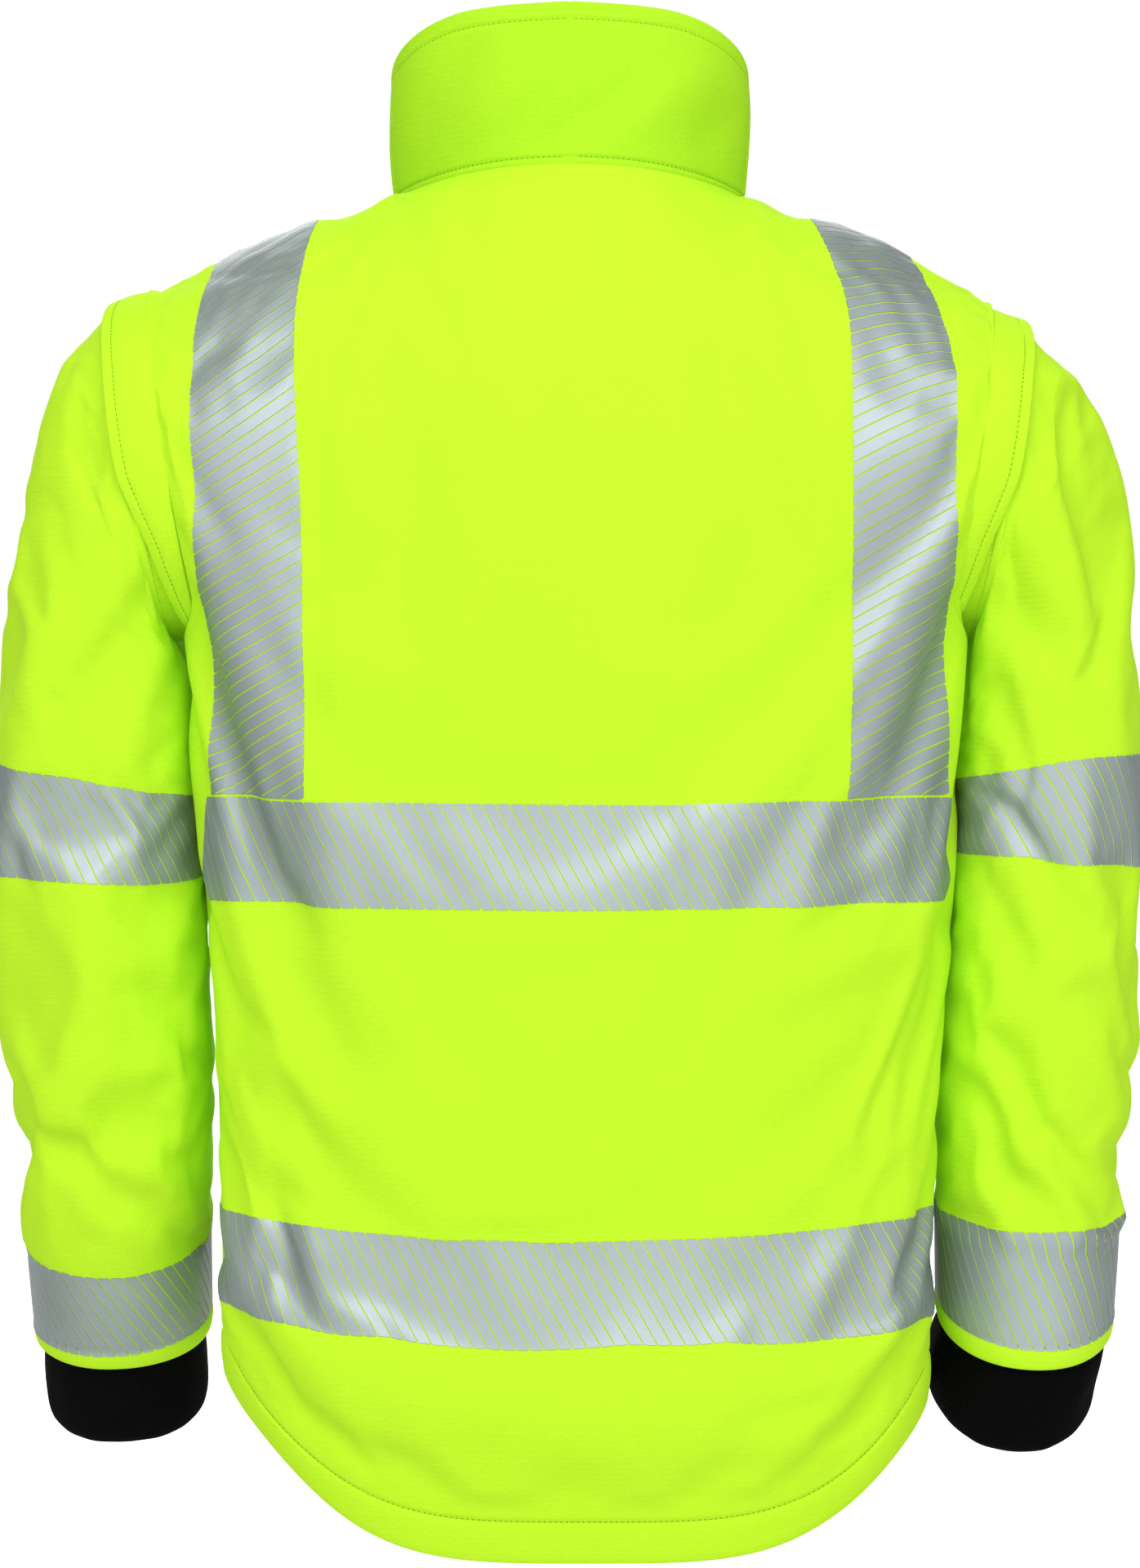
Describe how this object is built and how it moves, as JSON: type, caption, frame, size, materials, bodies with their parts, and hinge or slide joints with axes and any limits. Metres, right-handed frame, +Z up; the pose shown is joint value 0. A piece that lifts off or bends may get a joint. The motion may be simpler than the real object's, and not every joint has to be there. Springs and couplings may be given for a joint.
{
  "type": "high-visibility soft-shell jacket",
  "caption": "Stand-collar high-visibility soft-shell work jacket with front zip, zip-off sleeves, dropped tail, inner storm cuffs and segmented reflective body, shoulder and sleeve bands.",
  "frame": {"origin": "centre of the neck opening, level with the centre-back neck seam", "axes": "+Z up; -Y is the front, where the zip is; +X is the wearer's left, so a view of the back shows +X on the left"},
  "size_m": [0.5948, 0.2487, 0.7649],
  "materials": {
    "shell_lime": "bonded knit-faced soft shell, fluorescent lime",
    "lining_lime": "inner face and facings in the same soft shell",
    "reflective_tape": "segmented heat-applied retroreflective film",
    "rib_black": "black stretch inner cuff",
    "zip_tape_black": "woven zip tape",
    "zip_tape_lime": "woven zip tape",
    "zip_teeth_black": "moulded zip teeth",
    "zip_metal": "painted slider and pull",
    "cord_lock_plastic": "moulded cord lock",
    "elastic_cord": "elastic cord"
  },
  "bodies": {
    "coat_body": {"back_panel": "shell_lime", "left_front_panel": "shell_lime", "right_front_panel": "shell_lime", "collar": "shell_lime", "collar_facing": "lining_lime", "hang_loop": "elastic_cord", "hem_facing": "lining_lime", "hem_drawcord": "elastic_cord", "left_cord_lock_barrel": "cord_lock_plastic", "right_cord_lock_barrel": "cord_lock_plastic", "upper_band_back": "reflective_tape", "upper_band_left_front": "reflective_tape", "upper_band_right_front": "reflective_tape", "lower_band_back": "reflective_tape", "lower_band_left_front": "reflective_tape", "lower_band_right_front": "reflective_tape", "left_shoulder_tape": "reflective_tape", "right_shoulder_tape": "reflective_tape", "left_armhole_cap": "shell_lime", "right_armhole_cap": "shell_lime", "left_armhole_stringer": "zip_tape_lime", "right_armhole_stringer": "zip_tape_lime", "left_pocket_zip": "zip_tape_black", "right_pocket_zip": "zip_tape_black", "left_pocket_bag": "lining_lime", "right_pocket_bag": "lining_lime"},
    "front_left_edge": {"front_zip_left_tape": "zip_tape_black", "front_zip_left_teeth": "zip_teeth_black", "front_zip_pin": "zip_teeth_black", "left_front_facing": "lining_lime", "storm_flap": "lining_lime"},
    "front_right_edge": {"front_zip_right_tape": "zip_tape_black", "front_zip_right_teeth": "zip_teeth_black", "front_zip_box": "zip_teeth_black", "right_front_facing": "lining_lime"},
    "front_zip_slider_body": {"front_zip_slider": "zip_metal"},
    "front_zip_pull_body": {"front_zip_pull": "zip_metal"},
    "left_armhole_slider_body": {"left_armhole_slider": "zip_metal"},
    "left_armhole_pull_body": {"left_armhole_pull": "zip_metal"},
    "left_sleeve_body": {"left_sleeve": "shell_lime", "left_sleeve_stringer": "zip_tape_lime", "left_storm_cuff": "rib_black", "left_upper_sleeve_tape": "reflective_tape", "left_lower_sleeve_tape": "reflective_tape"},
    "left_pocket_slider_body": {"left_pocket_slider": "zip_metal"},
    "left_pocket_pull_body": {"left_pocket_pull": "zip_metal"},
    "left_cord_lock_plunger_body": {"left_cord_lock_plunger": "cord_lock_plastic"},
    "right_armhole_slider_body": {"right_armhole_slider": "zip_metal"},
    "right_armhole_pull_body": {"right_armhole_pull": "zip_metal"},
    "right_sleeve_body": {"right_sleeve": "shell_lime", "right_sleeve_stringer": "zip_tape_lime", "right_storm_cuff": "rib_black", "right_upper_sleeve_tape": "reflective_tape", "right_lower_sleeve_tape": "reflective_tape"},
    "right_pocket_slider_body": {"right_pocket_slider": "zip_metal"},
    "right_pocket_pull_body": {"right_pocket_pull": "zip_metal"},
    "right_cord_lock_plunger_body": {"right_cord_lock_plunger": "cord_lock_plastic"}
  },
  "joints": [
    {"name": "front_zip_slide", "type": "slide", "parent": "front_right_edge", "child": "front_zip_slider_body", "axis": [0, -0.0778, -0.997], "range_m": [0, 0.62]},
    {"name": "front_left_open", "type": "hinge", "parent": "coat_body", "child": "front_left_edge", "pos_m": [0.085, -0.045, 0.04], "axis": [-0.0831, 0.0831, 0.9931], "range_deg": [0, 40]},
    {"name": "front_right_open", "type": "hinge", "parent": "coat_body", "child": "front_right_edge", "pos_m": [-0.085, -0.045, 0.04], "axis": [-0.0831, -0.0831, -0.9931], "range_deg": [0, 40]},
    {"name": "front_zip_pull_swing", "type": "hinge", "parent": "front_zip_slider_body", "child": "front_zip_pull_body", "pos_m": [0, -0.0824, 0.02996], "axis": [-1, 0, 0], "range_deg": [0, 165]},
    {"name": "left_armhole_zip_run", "type": "hinge", "parent": "coat_body", "child": "left_armhole_slider_body", "pos_m": [0.203, 0, -0.147], "axis": [0.989, 0, -0.1478], "range_deg": [-320, 0]},
    {"name": "left_armhole_pull_lift", "type": "hinge", "parent": "left_armhole_slider_body", "child": "left_armhole_pull_body", "pos_m": [0.19041, -0.02767, -0.23123], "axis": [-0.989, 0, 0.1478], "range_deg": [0, 12]},
    {"name": "left_sleeve_off", "type": "slide", "parent": "coat_body", "child": "left_sleeve_body", "axis": [0.989, 0, -0.1478], "range_m": [0, 0.2]},
    {"name": "right_armhole_zip_run", "type": "hinge", "parent": "coat_body", "child": "right_armhole_slider_body", "pos_m": [-0.203, 0, -0.147], "axis": [0.989, 0, 0.1478], "range_deg": [-320, 0]},
    {"name": "right_armhole_pull_lift", "type": "hinge", "parent": "right_armhole_slider_body", "child": "right_armhole_pull_body", "pos_m": [-0.19041, -0.02767, -0.23123], "axis": [-0.989, 0, -0.1478], "range_deg": [0, 12]},
    {"name": "right_sleeve_off", "type": "slide", "parent": "coat_body", "child": "right_sleeve_body", "axis": [-0.989, 0, -0.1478], "range_m": [0, 0.2]},
    {"name": "left_pocket_zip_slide", "type": "slide", "parent": "coat_body", "child": "left_pocket_slider_body", "axis": [0.0236, -0.0325, -0.9992], "range_m": [0, 0.118]},
    {"name": "left_pocket_pull_swing", "type": "hinge", "parent": "left_pocket_slider_body", "child": "left_pocket_pull_body", "pos_m": [0.14132, -0.09211, -0.38386], "axis": [-0.809, -0.5878, 0], "range_deg": [0, 150]},
    {"name": "right_pocket_zip_slide", "type": "slide", "parent": "coat_body", "child": "right_pocket_slider_body", "axis": [-0.0236, -0.0325, -0.9992], "range_m": [0, 0.118]},
    {"name": "right_pocket_pull_swing", "type": "hinge", "parent": "right_pocket_slider_body", "child": "right_pocket_pull_body", "pos_m": [-0.14132, -0.09211, -0.38386], "axis": [-0.809, 0.5878, 0], "range_deg": [0, 150]},
    {"name": "left_cord_lock_press", "type": "slide", "parent": "coat_body", "child": "left_cord_lock_plunger_body", "axis": [0, 0, 1], "range_m": [0, 0.0034], "stiffness_N_per_m": 600, "springref_m": -0.003},
    {"name": "right_cord_lock_press", "type": "slide", "parent": "coat_body", "child": "right_cord_lock_plunger_body", "axis": [0, 0, 1], "range_m": [0, 0.0034], "stiffness_N_per_m": 600, "springref_m": -0.003}
  ],
  "couplings": [
    {"joint": "front_left_open", "follows": "front_zip_slide", "rad_per_m": 1.12},
    {"joint": "front_right_open", "follows": "front_zip_slide", "rad_per_m": 1.12}
  ]
}
